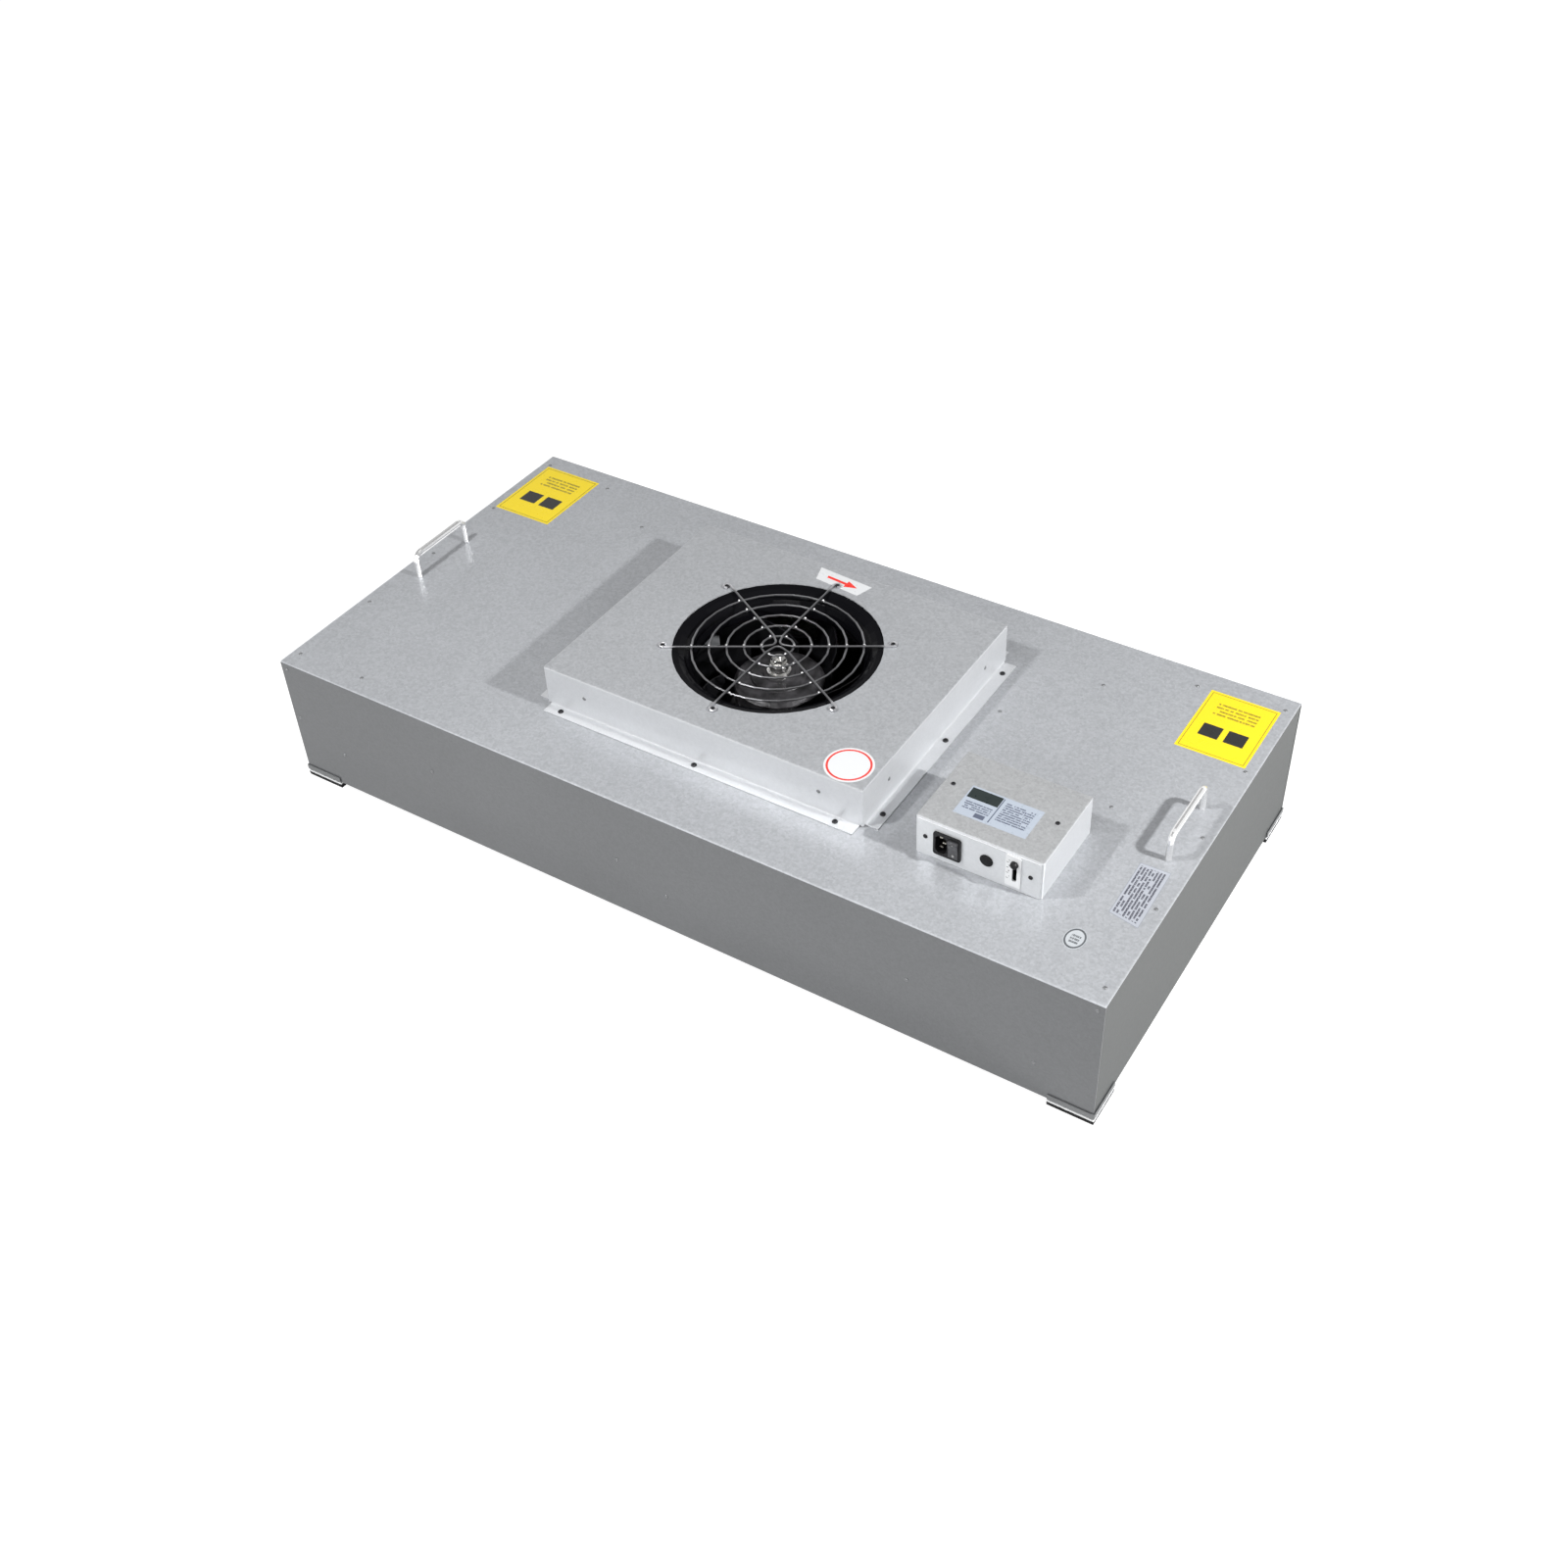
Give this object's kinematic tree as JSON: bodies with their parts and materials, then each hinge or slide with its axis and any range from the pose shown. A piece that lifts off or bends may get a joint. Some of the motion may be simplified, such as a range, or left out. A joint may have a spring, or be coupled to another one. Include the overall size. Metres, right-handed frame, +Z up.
{
  "type": "fan filter unit",
  "caption": "Flat box-shaped ceiling air cleaner with a raised fan inlet under a wire guard, an electric box with a power inlet, bow handles and a pleated filter underneath.",
  "frame": {"origin": "under the middle of the unit, on the plane that its feet stand on", "axes": "+X along the long side, towards the electric box; +Y from the electric box's front panel towards its back; +Z up, against the way the air is blown"},
  "size_m": [1.178, 0.578, 0.2566],
  "materials": {
    "galvanised_steel": "zinc-coated sheet with a fine spangle",
    "bracket_steel": "zinc-coated, satin",
    "foot_rubber": "moulded, matt",
    "frame_aluminium": "anodised, satin",
    "filter_paper": "white glass-fibre paper, matt",
    "gasket_foam": "closed-cell foam",
    "liner_foam": "open-cell sound foam",
    "guard_paint": "white powder coat",
    "black_paint": "black semi-gloss coat",
    "wheel_paint": "black semi-gloss coat",
    "rotor_paint": "black satin coat",
    "bright_wire": "bright plated wire",
    "bright_steel": "polished",
    "stator_metal": "die cast",
    "copper": "enamelled copper",
    "bearing_steel": "ground",
    "dark_steel": "blackened",
    "black_plastic": "moulded, fine texture",
    "grey_plastic": "moulded, fine texture",
    "brass_pins": "bright",
    "black_rubber": "moulded, matt",
    "white_plate": "printed plate, satin",
    "capacitor_skin": "white plastic can",
    "terminal_plastic": "moulded",
    "lead_skin": "cable sheath"
  },
  "bodies": {
    "unit": {"housing_wrap": "galvanised_steel", "end_panel_left": "galvanised_steel", "end_panel_right": "galvanised_steel", "inlet_box": "galvanised_steel", "seal_ledge": "galvanised_steel", "motor_plate": "galvanised_steel", "hanger_1": "galvanised_steel", "hanger_2": "galvanised_steel", "hanger_3": "galvanised_steel", "hanger_4": "galvanised_steel", "control_cover": "galvanised_steel", "control_panel": "galvanised_steel", "control_bracket": "galvanised_steel", "capacitor_clamp": "galvanised_steel", "corner_bracket_1": "bracket_steel", "corner_bracket_2": "bracket_steel", "corner_bracket_3": "bracket_steel", "corner_bracket_4": "bracket_steel", "corner_foot_1": "foot_rubber", "corner_foot_2": "foot_rubber", "corner_foot_3": "foot_rubber", "corner_foot_4": "foot_rubber", "filter_frame": "frame_aluminium", "filter_pack": "filter_paper", "filter_gasket": "gasket_foam", "liner_front": "liner_foam", "liner_back": "liner_foam", "liner_left": "liner_foam", "liner_right": "liner_foam", "face_guard": "guard_paint", "inlet_ring": "black_paint", "finger_guard": "bright_wire", "handle_left": "bright_steel", "handle_right": "bright_steel", "motor_stator": "stator_metal", "winding_lower": "copper", "winding_upper": "copper", "bearing_lower": "bearing_steel", "bearing_upper": "bearing_steel", "handle_left_screw_front": "dark_steel", "handle_left_screw_back": "dark_steel", "handle_right_screw_front": "dark_steel", "handle_right_screw_back": "dark_steel", "power_inlet": "black_plastic", "speed_switch": "black_plastic", "pin_live": "brass_pins", "pin_neutral": "brass_pins", "pin_earth": "brass_pins", "hole_plug": "black_rubber", "cable_grommet": "black_rubber", "speed_plate": "white_plate", "capacitor": "capacitor_skin", "terminal_block": "terminal_plastic", "motor_lead": "lead_skin"},
    "fan": {"impeller": "wheel_paint", "motor_rotor": "rotor_paint", "motor_shaft": "bright_steel"},
    "rocker": {"power_rocker": "grey_plastic"},
    "knob": {"speed_knob": "black_plastic"}
  },
  "joints": [
    {"name": "fan_spin", "type": "hinge", "parent": "unit", "child": "fan", "pos_m": [0, 0, 0.18], "axis": [0, 0, 1], "continuous": true},
    {"name": "rocker_tilt", "type": "hinge", "parent": "unit", "child": "rocker", "pos_m": [0.3498, -0.182, 0.2225], "axis": [1, 0, 0], "range_deg": [-16, 0]},
    {"name": "knob_slide", "type": "slide", "parent": "unit", "child": "knob", "axis": [0, 0, -1], "range_m": [0, 0.024]}
  ]
}
